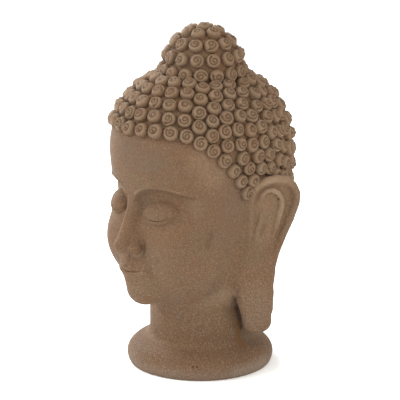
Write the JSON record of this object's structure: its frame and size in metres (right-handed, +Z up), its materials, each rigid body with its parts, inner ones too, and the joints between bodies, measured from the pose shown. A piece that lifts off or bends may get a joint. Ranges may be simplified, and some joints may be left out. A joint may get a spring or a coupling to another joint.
{
  "type": "buddha head sculpture",
  "caption": "Garden sculpture of a calm head with snail-curl hair, a topknot and long-lobed ears, on a round neck and foot, cast in one piece.",
  "frame": {"origin": "centre of the round underside, on the surface that the sculpture stands on", "axes": "+Z up through the topknot; the face looks along -Y; +X is the sculpture's own left"},
  "size_m": [0.3072, 0.3422, 0.5581],
  "materials": {
    "fibre_clay": "matte"
  },
  "bodies": {
    "root": {"buddha_head": "fibre_clay"}
  },
  "joints": []
}
